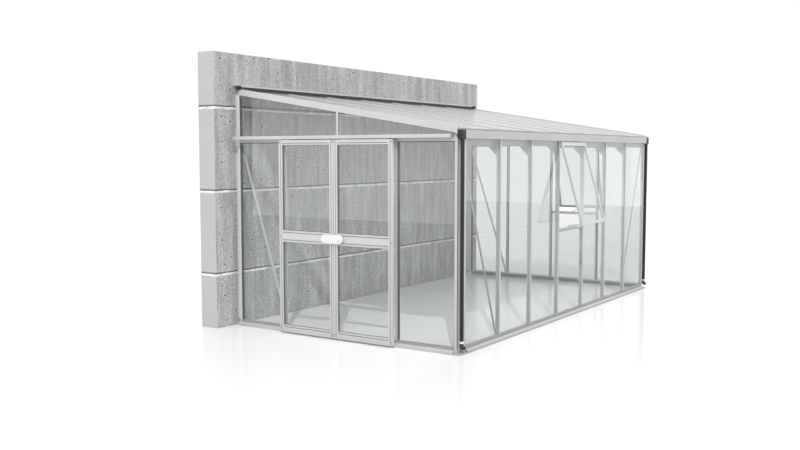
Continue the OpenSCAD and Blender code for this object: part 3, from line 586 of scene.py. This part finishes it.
gasket_foot, gasket_head = sill_h - 21.0, sill_h - 2.0
gasket_out, gasket_in = 4.0, 1.0
corner_edge = -depth + corner_strip + cap_w / 2
eave_edge = corner_offset + cap_w / 2
eave_low = (eave_edge, -depth - gasket_out, gasket_foot)
eave_high = (frame_l - eave_edge, -depth + gasket_in, gasket_head)
gaskets = [(eave_low, eave_high)]
for x0, x1 in both_ends(-gasket_out, gasket_in):
    gaskets.append(((x0, corner_edge, gasket_foot), (x1, -wall_gap - cap_w, gasket_head)))
# painted shade: the gasket's dark grey stands partly for the shade on the sill's upright
sill_shade_grey = moulded("sill_gasket_painted_shade", (0.24, 0.243, 0.246, 1), (0.32, 0.323, 0.326, 1), 0.55, 600.0, 0.3)
place_piece("sill_shade_gaskets", box_mesh("sill_shade_gaskets", gaskets, sill_shade_grey), "greenhouse")

# %% [markdown]
# At both ends dark strips are painted shade: in the side of the wall post and of the third bar that faces
# away from the wall, where that side stands in shade; as a thin line for the corner post's slot; and under
# the rail over the outer panes, where the rail throws its shade.

# %% Painted shade strips in the posts' sides
strip_near, strip_far = 9.0, 39.0
strip_in, strip_out = 10.0, 13.0
slot_near, slot_far = 16.0, 22.0
rail_shade_h = 7.0
wall_post_y = -wall_gap - strip_out
wall_post_top = under_roof(-wall_gap - bar_d) - 20.0
wall_spans = ((wall_post_y, sill_h, rail_z), (wall_post_y, rail_top, wall_post_top))
shade_strips = []
# painted shade: dark boxes on the shaded sides of the wall post and the third bar
for y, z0, z1 in (*wall_spans, (-3 * bay, sill_h, rail_z)):
    for x0, x1 in both_ends(strip_near, strip_far):
        shade_strips.append(((x0, y - strip_out, z0), (x1, y - strip_in, z1)))
# painted shade: the corner post's slot as a dark line
for x0, x1 in both_ends(-0.4, 1.0):
    shade_strips.append(((x0, -depth + slot_near, sill_h), (x1, -depth + slot_far, rail_z)))
# painted shade: a dark strip under the rail, the rail's shadow
for x0, x1 in both_ends(-0.5, 4.0):
    for y0, y1 in ((-bay - cap_w / 2, -post_strip - cap_w / 2), (corner_edge, -3 * bay - cap_w / 2)):
        shade_strips.append(((x0, y0, rail_z - rail_shade_h), (x1, y1, rail_z)))
place_piece("post_shade_strips", box_mesh("post_shade_strips", shade_strips, seal_rubber), "greenhouse")

# %% [markdown]
# The roof sheets have the same kind of bead along each bar's cap. These are pale grey and thicker, so they
# get their own run of the same tree. The two at the verges start a little higher up the slope.

# %% Seals of the roof
roof_bead, roof_bead_out, roof_bead_up = 3.6, 1.6, 1.8
roof_bar_h, verge_w = 48.0, 28.0
sheet_top = (roof_bar_h - cap_t) / math.cos(math.atan(roof_slope))
bar_foot, verge_foot, ridge_end = 8.0, 27.0, -wall_gap - 34.0


def on_sheet(x, y):
    return at(x, y, under_roof(y) + sheet_top + roof_bead_up)


lines = [(x, verge_foot) for x in (verge_w + roof_bead_out, frame_l - verge_w - roof_bead_out)]
for bar_x in bar_lines[1:-1]:
    lines += [(bar_x + side * (cap_w / 2 + roof_bead_out), bar_foot) for side in (-1, 1)]
runs = [[on_sheet(x, foot - depth), on_sheet(x, ridge_end)] for x, foot in lines]
pale_rubber = moulded("pale_rubber", (0.46, 0.465, 0.47, 1), (0.54, 0.545, 0.55, 1), 0.55, 700.0, 0.0)
lay_seals("roof_seals", runs, roof_bead, pale_rubber, "greenhouse")

# %% [markdown]
# ## Seals of the door leaves
# Each leaf has two panes set in a groove of its own stiles and rails, so its beads ride on that leaf. The
# tree is the same; only the runs differ. Both leaves use one function, because the right leaf is the left
# one mirrored about the middle of the doorway.

# %% Seals of a leaf
leaf_w, leaf_t, leaf_off, leaf_gap, stile_w = 619.0, 30.0, 32.0, 2.0, 40.0
leaf_foot, leaf_top = 12.0, 1762.0
foot_rail, head_rail, mid_z, mid_half = 65.0, 44.0, 893.0, 52.5
leaf_panes = ((leaf_foot + foot_rail, mid_z - mid_half), (mid_z + mid_half, leaf_top - head_rail))
leaf_bead = 2.2


def leaf_y(side, u):
    return -bay + leaf_gap - u if side == "left" else -3 * bay - leaf_gap + u


def on_leaf(side, u, v, z):
    return at(-leaf_off - leaf_t + v, leaf_y(side, u), z)


def leaf_runs(side):
    runs = []
    seat = leaf_bead * 0.7
    off = glass_t / 2 + leaf_bead * 0.6
    u0, u1 = stile_w + seat, leaf_w - stile_w - seat
    for z0, z1 in leaf_panes:
        corners = [(u0, z0 + seat), (u1, z0 + seat), (u1, z1 - seat), (u0, z1 - seat)]
        for v in (leaf_t / 2 - off, leaf_t / 2 + off):
            for i in range(4):
                (ua, za), (ub, zb) = corners[i - 1], corners[i]
                runs.append([on_leaf(side, ua, v, za), on_leaf(side, ub, v, zb)])
    return runs


for side in ("left", "right"):
    lay_seals("door_" + side + "_seals", leaf_runs(side), leaf_bead, seal_rubber, "door_" + side)

# %% [markdown]
# The stiles have a narrow groove down their faces, and the rails have one along their edges. At this
# distance such a groove is only a thin dark line of shade, so a flat strip painted dark stands for it:
# painted shade. A broader dark gasket stands in front of the panes along the stile that is nearer to the
# wall. Its dark colour is partly painted shade, the shade on that side of the stile.

# %% Groove lines of the leaves, painted shade
stile_groove, groove_half, rail_groove_half = 22.0, 1.6, 2.8
groove_out, groove_in, groove_end, rail_groove_end = 0.4, 1.0, 4.0, 1.0
rail_grooves = (mid_z - 34.0, mid_z + 34.0, leaf_foot + 48.0, leaf_top - 28.0)
gasket_w, gasket_t = 12.0, 6.0
leaf_face, pane_face = -leaf_off - leaf_t, -leaf_off - leaf_t / 2 - glass_t / 2
# painted shade: a near-black grey for the grooves and for the shaded side of the stile by the wall
groove_shade_grey = moulded("groove_shade_grey", (0.10, 0.102, 0.104, 1), (0.14, 0.142, 0.144, 1), 0.5, 700.0, 0.0)


def leaf_shade_lines(side):
    shade_strips = []
    for u in (stile_groove, leaf_w - stile_groove):
        shade_strips.append((u - groove_half, u + groove_half, leaf_foot + groove_end, leaf_top - groove_end))
    u0, u1 = stile_w + rail_groove_end, leaf_w - stile_w - rail_groove_end
    for z in rail_grooves:
        shade_strips.append((u0, u1, z - rail_groove_half, z + rail_groove_half))
    boxes = []
    for u0, u1, z0, z1 in shade_strips:
        low = (leaf_face - groove_out, leaf_y(side, u0), z0)
        boxes.append((low, (leaf_face + groove_in, leaf_y(side, u1), z1)))
    near_wall = leaf_y(side, stile_w if side == "left" else leaf_w - stile_w)
    # painted shade: a dark strip by the stile nearer the wall, partly a gasket and partly its shade
    for z0, z1 in leaf_panes:
        boxes.append(((pane_face - gasket_t, near_wall - gasket_w, z0), (pane_face, near_wall, z1)))
    return boxes


for side in ("left", "right"):
    name = "door_" + side + "_grooves"
    place_piece(name, box_mesh(name, leaf_shade_lines(side), groove_shade_grey), "door_" + side)

# %% [markdown]
# ## Nuts and washers
# The frame is bolted together, and a nut with a washer holds each brace, rail and foot. They are small and
# many, so one tree makes a nut on a washer with the end of its thread, and puts it on every point of the
# start mesh, turned to the direction stored with the point.

# %% The nut tree
nut_tree, sizes = open_tree("nuts_and_washers", {"Across flats": 0.010, "Height": 0.005, "Washer": 0.007})
corner = maths(nut_tree, "MULTIPLY", sizes["Across flats"], 1 / math.sqrt(3))
thread = maths(nut_tree, "MULTIPLY", sizes["Across flats"], 0.3)
thread_end = maths(nut_tree, "MULTIPLY", sizes["Height"], 1.6)
washer_t = 0.0015
turned_parts = ((6, corner, sizes["Height"]), (14, sizes["Washer"], washer_t), (8, thread, thread_end))
joined = make(nut_tree, "GeometryNodeJoinGeometry")
for sides, radius, height in turned_parts:
    turned_inputs = {"Vertices": sides, "Radius": radius, "Depth": height}
    turned = make(nut_tree, "GeometryNodeMeshCylinder", turned_inputs).outputs[0]
    lift = join_axes(nut_tree, 0.0, 0.0, maths(nut_tree, "MULTIPLY", height, 0.5))
    lifted = make(nut_tree, "GeometryNodeTransform", {"Geometry": turned, "Translation": lift})
    feed(nut_tree, joined, {0: lifted.outputs[0]})
aim = make(nut_tree, "GeometryNodeInputNamedAttribute", {"Name": "aim"}, data_type="FLOAT_VECTOR")
turn = make(nut_tree, "FunctionNodeAlignRotationToVector", {"Vector": aim.outputs[0]}, axis="Z")
copy_inputs = {"Points": sizes["Geometry"], "Instance": joined.outputs[0], "Rotation": turn.outputs[0]}
copies = make(nut_tree, "GeometryNodeInstanceOnPoints", copy_inputs)
close_tree(nut_tree, copies.outputs[0], sizes["Finish"])

# %% [markdown]
# The nuts sit inside on the bars, on the end rails and at both ends of each end's brace, and on the corner
# feet they stand upright.

# %% Where the nuts sit
inward_y, inward_x, up = Vector((0, 1, 0)), Vector((1, 0, 0)), Vector((0, 0, 1))
bar_nuts, end_bar_nuts = (sill_h + 22, eave_z - 160), (sill_h + 40, rail_z - 24)
rail_nuts = (-330.0, -930.0, -1560.0, -2180.0)
brace_nuts = ((-post_strip - 6, rail_z - 32), (-bay + 14, sill_h + 36))
foot_nuts = ((-8, 10), (54, -14), (106, -14))
foot_t, brace_t = 10, 4
spots = []
for bar_x in bar_lines[1:-1]:
    for z in bar_nuts:
        spots.append((at(bar_x, -depth + bar_d, z), inward_y))
for end_x, inward, end_bars in ((0.0, 1.0, (1, 3)), (frame_l, -1.0, (1, 2, 3))):
    inner, aim_in = end_x + inward * bar_d, inward_x * inward
    for k in end_bars:
        for z in end_bar_nuts:
            spots.append((at(inner, -k * bay, z), aim_in))
    for y in rail_nuts:
        spots.append((at(inner, y, (rail_z + rail_top) / 2), aim_in))
    for y, z in brace_nuts:
        spots.append((at(inner + inward * brace_t, y, z), aim_in))
    for dx, dy in foot_nuts:
        spots.append((at(end_x + inward * dx, -depth + dy, foot_t), up))
nut_start = bpy.data.meshes.new("nut_start")
nut_start.from_pydata([point for point, _ in spots], [], [])
aims = nut_start.attributes.new("aim", "FLOAT_VECTOR", "POINT")
aims.data.foreach_set("vector", [part for _, direction in spots for part in direction])
nut_sizes = {"Across flats": 0.010, "Height": 0.005, "Washer": 0.008, "Finish": zinc_steel}
run_tree("frame_nuts", nut_start, nut_tree, nut_sizes, "greenhouse")

# %% [markdown]
# A thin triangular plate fills the corner behind each knee brace, between the upright and the roof bar. Six
# alike are needed, one on each bar, so a small function draws them as flat prisms.

# %% Plates behind the knee braces


def knee_plates(drop, thick, below):
    work = bmesh.new()
    foot = -depth + bar_d
    head = under_roof(foot)
    tip = foot + (head - (eave_z - drop)) / (1 - roof_slope)
    outline = [(foot, eave_z - drop), (tip, under_roof(tip) - below), (foot, head - below)]
    for x in bar_lines[1:-1]:
        near = [work.verts.new(at(x - thick / 2, y, z)) for y, z in outline]
        far = [work.verts.new(at(x + thick / 2, y, z)) for y, z in outline]
        work.faces.new(far)
        work.faces.new(reversed(near))
        for i in range(3):
            work.faces.new((near[i - 1], near[i], far[i], far[i - 1]))
    bmesh.ops.recalc_face_normals(work, faces=work.faces)
    mesh = bpy.data.meshes.new("knee_plates")
    work.to_mesh(mesh)
    work.free()
    mesh.materials.append(frame_metal)
    return mesh


place_piece("knee_plates", knee_plates(150.0, 5.0, 0.5), "greenhouse")

# %% [markdown]
# ## Beads in the wall's joints
# Mortar was pressed out of every joint and left as a pale, uneven bead under the dark line. It follows the
# joint round the whole wall. The start mesh is a narrow band of quads; each point stores how far it may
# swell, and the tree pushes the middle of the band out by an uneven amount, so that the bead swells and
# thins as it goes.

# %% The bead tree
bead_tree, sizes = open_tree("joint_beads", {"Proud": 0.004, "Uneven": 0.7, "Seed": 3.0})
swell = make(bead_tree, "GeometryNodeInputNamedAttribute", {"Name": "swell"}, data_type="FLOAT").outputs[0]
outward = make(bead_tree, "GeometryNodeInputNamedAttribute", {"Name": "outward"}, data_type="FLOAT_VECTOR")
lump_inputs = {"W": sizes["Seed"], "Scale": 9.0, "Detail": 3.0}
lumps = make(bead_tree, "ShaderNodeTexNoise", lump_inputs, noise_dimensions="4D").outputs[0]
sag_inputs = {"W": sizes["Seed"], "Scale": 16.0, "Detail": 4.0}
sag = make(bead_tree, "ShaderNodeTexNoise", sag_inputs, noise_dimensions="4D").outputs[0]
push = maths(bead_tree, "MULTIPLY", swell, remap(bead_tree, lumps, 0.3, 0.7, 0.35, 1.0))
reach = maths(bead_tree, "MULTIPLY", push, sizes["Proud"])
out_inputs = {0: outward.outputs[0], "Scale": reach}
step_out = make(bead_tree, "ShaderNodeVectorMath", out_inputs, operation="SCALE").outputs[0]
drop = maths(bead_tree, "MULTIPLY", maths(bead_tree, "SUBTRACT", sag, 0.5), sizes["Uneven"])
step_down = join_axes(bead_tree, 0.0, 0.0, maths(bead_tree, "MULTIPLY", drop, 0.010))
step = make(bead_tree, "ShaderNodeVectorMath", {0: step_out, 1: step_down}, operation="ADD").outputs[0]
moved = make(bead_tree, "GeometryNodeSetPosition", {"Geometry": sizes["Geometry"], "Offset": step})
soft = make(bead_tree, "GeometryNodeSetShadeSmooth", {"Geometry": moved.outputs[0]})
close_tree(bead_tree, soft.outputs[0], sizes["Finish"])

# %% [markdown]
# The band runs once round the wall below each joint. A point at a corner is pushed along both of its sides,
# so the bead turns the corner without a gap.

# %% Bands round the wall
wall_lo, wall_hi = Vector(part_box("wall_course_1")[0]), Vector(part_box("wall_course_1")[1])
sections = ((0.0005, -0.3), (-0.005, 0.7), (-0.012, 1.0), (-0.019, 0.7), (-0.025, -0.3))
band_step, band_sink = 0.012, 0.0002


def wall_loop(spacing):
    (x0, y0, _), (x1, y1, _) = wall_lo, wall_hi
    corners = [(x0, y0), (x1, y0), (x1, y1), (x0, y1)]
    loop = []
    for i in range(4):
        (xa, ya), (xb, yb) = corners[i], corners[(i + 1) % 4]
        length = math.hypot(xb - xa, yb - ya)
        side_out = Vector((yb - ya, xa - xb, 0)) / length
        before = Vector((ya - corners[i - 1][1], corners[i - 1][0] - xa, 0)).normalized()
        count = max(4, round(length / spacing))
        for j in range(count):
            spot = Vector((xa + (xb - xa) * j / count, ya + (yb - ya) * j / count, 0))
            loop.append((spot, side_out if j else side_out + before))
    return loop


points, quads, swells, outs = [], [], [], []
loop = wall_loop(band_step)
n, m = len(loop), len(sections)
for joint_z in joint_heights:
    first = len(points)
    for spot, direction in loop:
        for dz, across in sections:
            points.append(spot + Vector((0, 0, joint_z + dz)) - direction * band_sink)
            swells.append(across)
            outs.extend(direction)
    for i in range(n):
        for j in range(m - 1):
            a, b = first + i * m + j, first + ((i + 1) % n) * m + j
            quads.append((a, a + 1, b + 1, b))
bead_start = bpy.data.meshes.new("bead_start")
bead_start.from_pydata(points, [], quads)
bead_start.attributes.new("swell", "FLOAT", "POINT").data.foreach_set("value", swells)
bead_start.attributes.new("outward", "FLOAT_VECTOR", "POINT").data.foreach_set("vector", outs)
bead_sizes = {"Proud": 0.008, "Uneven": 1.8, "Seed": 3.0, "Finish": chalk}
run_tree("joint_beads", bead_start, bead_tree, bead_sizes, "greenhouse")

# %% [markdown]
# ## Rounded fittings
# Drawn solids have knife edges; moulded fittings never do. A copy of such a solid has its loose triangles
# merged, flat faces dissolved back to whole faces and its edges bevelled, and then stands for the solid.
# The copy stays exactly where the solid is.

# %% Round the edges of the moulded fittings


def rounded(name, node, radius, segments, finish, body):
    mesh = nodes[node].data.copy()
    mesh.name = name
    work = bmesh.new()
    work.from_mesh(mesh)
    bmesh.ops.remove_doubles(work, verts=work.verts, dist=1e-5)
    bmesh.ops.dissolve_limit(work, angle_limit=math.radians(1.0), verts=work.verts, edges=work.edges)
    bend = math.radians(40.0)
    sharp = [e for e in work.edges if len(e.link_faces) == 2 and e.calc_face_angle(0.0) > bend]
    bmesh.ops.bevel(work, geom=sharp, offset=radius, segments=segments, profile=0.5, affect="EDGES",
                    clamp_overlap=True)
    for face in work.faces:
        face.smooth = True
    work.to_mesh(mesh)
    work.free()
    mesh.materials.clear()
    mesh.materials.append(finish)
    mesh.set_sharp_from_angle(angle=math.radians(50))
    piece = place_piece(name, mesh, body)
    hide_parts(node)


rounded("gutter_caps_rounded", "gutter_end_caps", 0.004, 3, black_plastic, "greenhouse")
rounded("pipe_collars_rounded", "pipe_collars", 0.0012, 2, white_plastic, "greenhouse")
rounded("latch_rounded", "door_latch", 0.005, 4, white_plastic, "door_left")

# %% [markdown]
# ## Small parts of the door
# The lock barrel ends in a raised white disc with a steel face for the key, and round plugs close the screw
# holes in the stiles of both leaves. All are thin turned shapes, so one helper lathes a disc from its
# profile of heights and radii.

# %% Turned discs
out_x = Vector((-1, 0, 0))


def disc_mesh(name, centre, profile, finish, sides):
    turn = out_x.to_track_quat("Z", "Y").to_matrix()
    points, faces = [], []
    for height, radius in profile:
        for i in range(sides):
            a = 2 * math.pi * i / sides
            points.append(centre + turn @ Vector((radius * math.cos(a), radius * math.sin(a), height)))
    for row in range(len(profile) - 1):
        for i in range(sides):
            j = (i + 1) % sides
            faces.append((row * sides + i, row * sides + j, (row + 1) * sides + j, (row + 1) * sides + i))
    faces.append(tuple(reversed(range(sides))))
    faces.append(tuple(range((len(profile) - 1) * sides, len(profile) * sides)))
    mesh = bpy.data.meshes.new(name)
    mesh.from_pydata(points, [], faces)
    mesh.materials.append(finish)
    return mesh


def join_meshes(name, meshes):
    work = bmesh.new()
    for mesh in meshes:
        work.from_mesh(mesh)
    joined_mesh = bpy.data.meshes.new(name)
    work.to_mesh(joined_mesh)
    work.free()
    joined_mesh.materials.append(meshes[0].materials[0])
    return joined_mesh


# %% Lock and plugs
latch_l, latch_gap, latch_t, barrel_h, barrel_in = 236.0, 7.0, 22.0, 6.0, 40.0
barrel_face = on_leaf("left", leaf_w + latch_l / 2 - barrel_in, -latch_gap - latch_t - barrel_h, mid_z)
disc_profile = [(0.0, 0.013), (0.0012, 0.013), (0.0018, 0.0122), (0.0018, 0.0090), (0.0009, 0.0086)]
key_profile = [(0.0008, 0.0042), (0.0012, 0.0042), (0.0014, 0.0038)]
plug_profile = [(-0.001, 0.005), (0.0004, 0.005), (0.0009, 0.0044), (0.0010, 0.003)]
lock_disc = disc_mesh("lock_disc", barrel_face, disc_profile, white_plastic, 24)
place_piece("lock_disc", lock_disc, "door_left")
key_slot = disc_mesh("key_slot", barrel_face, key_profile, zinc_steel, 12)
place_piece("key_slot", key_slot, "door_left")
plug_in, plug_low, plug_high = 9.0, leaf_foot + 32.0, leaf_top - 22.0
plug_spots = [(plug_in, plug_low), (plug_in, mid_z), (plug_in, plug_high)]
plug_spots += [(leaf_w - plug_in, plug_low), (leaf_w - plug_in, plug_high)]
for side in ("left", "right"):
    name = "door_" + side + "_plugs"
    centres = [on_leaf(side, u, 0, z) for u, z in plug_spots]
    plugs = [disc_mesh("plug", centre, plug_profile, black_plastic, 14) for centre in centres]
    place_piece(name, join_meshes(name, plugs), "door_" + side)

# %% [markdown]
# ## Floor, light and camera
# The building stands on a seamless white floor under an even white light. The floor is only a stage and
# not part of the building. For rays that come from a mirror it is painted nearly black, a painted
# reflection darker than the backdrop behind it, which gives the panes their level line.

# %% Floor
floor_mesh = bpy.data.meshes.new("studio_floor")
left, right, half = -14.2, 19.2, 30.0
floor_corners = [(left, -half, 0), (right, -half, 0), (right, half, 0), (left, half, 0)]
floor_mesh.from_pydata(floor_corners, [], [(0, 1, 2, 3)])
floor = bpy.data.objects.new("studio_floor", floor_mesh)
scene.collection.objects.link(floor)
floor_finish, tree, shader, place = open_material("studio_floor")
grain = use_group(tree, fine_grain, {"Place": place, "Scale": 30.0, "Cloud scale": 0.4})
white_floor = blend_colour(tree, grain["Cloud"], (0.86, 0.86, 0.86, 1), (0.88, 0.88, 0.88, 1))
# painted reflection: the floor turns nearly black only where it is seen in a mirror
dark_reflection_painted = maths(tree, "GREATER_THAN", make(tree, "ShaderNodeLightPath").outputs["Glossy Depth"], 0.5)
feed(tree, shader, {
    "Base Color": blend_colour(tree, dark_reflection_painted, white_floor, (0.07, 0.07, 0.07, 1)),
    "Roughness": remap(tree, grain["Speckle"], 0.3, 0.7, 0.14, 0.18),
    "Specular IOR Level": 0.18,
})
floor_mesh.materials.append(floor_finish)

# %% [markdown]
# A white world gives the even light. A weak sun from behind the camera, half way up the sky, draws the
# doors and the roof's edge as soft shadows on the floor inside. A wide soft lamp in front and a fill under
# the roof lighten the rest.

# %% Light
world = bpy.data.worlds.new("studio")
scene.world = world
world.use_nodes = True
backdrop = world.node_tree.nodes["Background"]
feed(world.node_tree, backdrop, {"Color": (1.0, 1.0, 1.0, 1), "Strength": 1.03})


def hang_lamp(name, kind, energy):
    data = bpy.data.lights.new(name, kind)
    data.energy = energy
    lamp = bpy.data.objects.new(name, data)
    scene.collection.objects.link(lamp)
    return lamp, data


front, front_data = hang_lamp("soft_front", "AREA", 30.0)
front_data.shape, front_data.size, front_data.size_y = "RECTANGLE", 9.0, 5.0
front.location = (3.0, -13.0, 6.0)
front.rotation_euler = (Vector((0, 0, 1.0)) - Vector(front.location)).to_track_quat("-Z", "Y").to_euler()
sun, sun_data = hang_lamp("soft_sun", "SUN", 1.5)
sun_data.angle = math.radians(1.0)
sun.rotation_euler = (math.radians(45.0), 0.0, math.radians(-56.4))
fill, fill_data = hang_lamp("fill_room", "AREA", 33.0)
fill_data.shape, fill_data.size, fill_data.size_y = "RECTANGLE", 4.2, 0.3
fill_in, fill_z = 260.0, 1610.0
fill.location = at(frame_l / 2, -depth + fill_in, fill_z)
fill.rotation_euler = (math.radians(40.0), 0.0, 0.0)
fill.visible_camera = fill.visible_glossy = fill.visible_transmission = False
scene.view_settings.view_transform = "Standard"
scene.view_settings.look = "None"
print("lamps:", front.name, sun.name, fill.name)

# %% [markdown]
# The camera stands where the photo was taken from. Its place was worked out from the bars' spacing and the
# right angles of the frame.

# %% Camera
camera_data = bpy.data.cameras.new("camera")
camera_data.sensor_width = 36.0
camera_data.lens = 41.15
camera = bpy.data.objects.new("camera", camera_data)
camera.location = (-8.643, -4.882, 1.6416)
camera.rotation_euler = (math.radians(85.53), 0.0, math.radians(-56.373))
scene.collection.objects.link(camera)
scene.camera = camera
